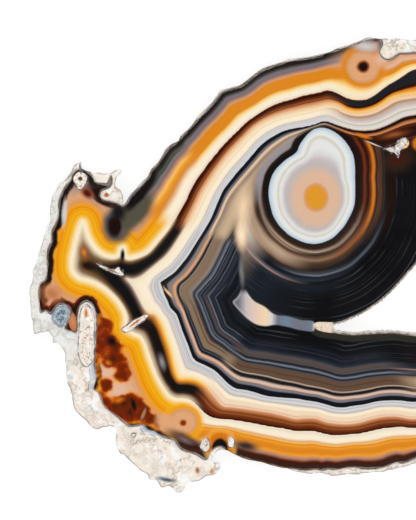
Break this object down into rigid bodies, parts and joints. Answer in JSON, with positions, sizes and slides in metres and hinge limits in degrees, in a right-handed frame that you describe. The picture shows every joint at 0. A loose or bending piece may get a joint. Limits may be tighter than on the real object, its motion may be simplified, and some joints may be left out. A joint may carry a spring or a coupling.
{
  "type": "banded agate slice",
  "caption": "Polished slice of banded agate with a white eye, chalky matrix along one side and an open crystal-lined hollow right through it.",
  "frame": {"origin": "under the middle of the slice, on the back face that it lies on", "axes": "+X right across the polished face, +Y up it as in the picture, +Z out of the polished face"},
  "size_m": [0.1532, 0.1138, 0.006],
  "materials": {
    "polished_agate": "polished, with a sawn back and a rough natural rim",
    "druse": "fine white crystals"
  },
  "bodies": {
    "root": {"agate_slab": "polished_agate", "crystal_crust": "druse"}
  },
  "joints": []
}
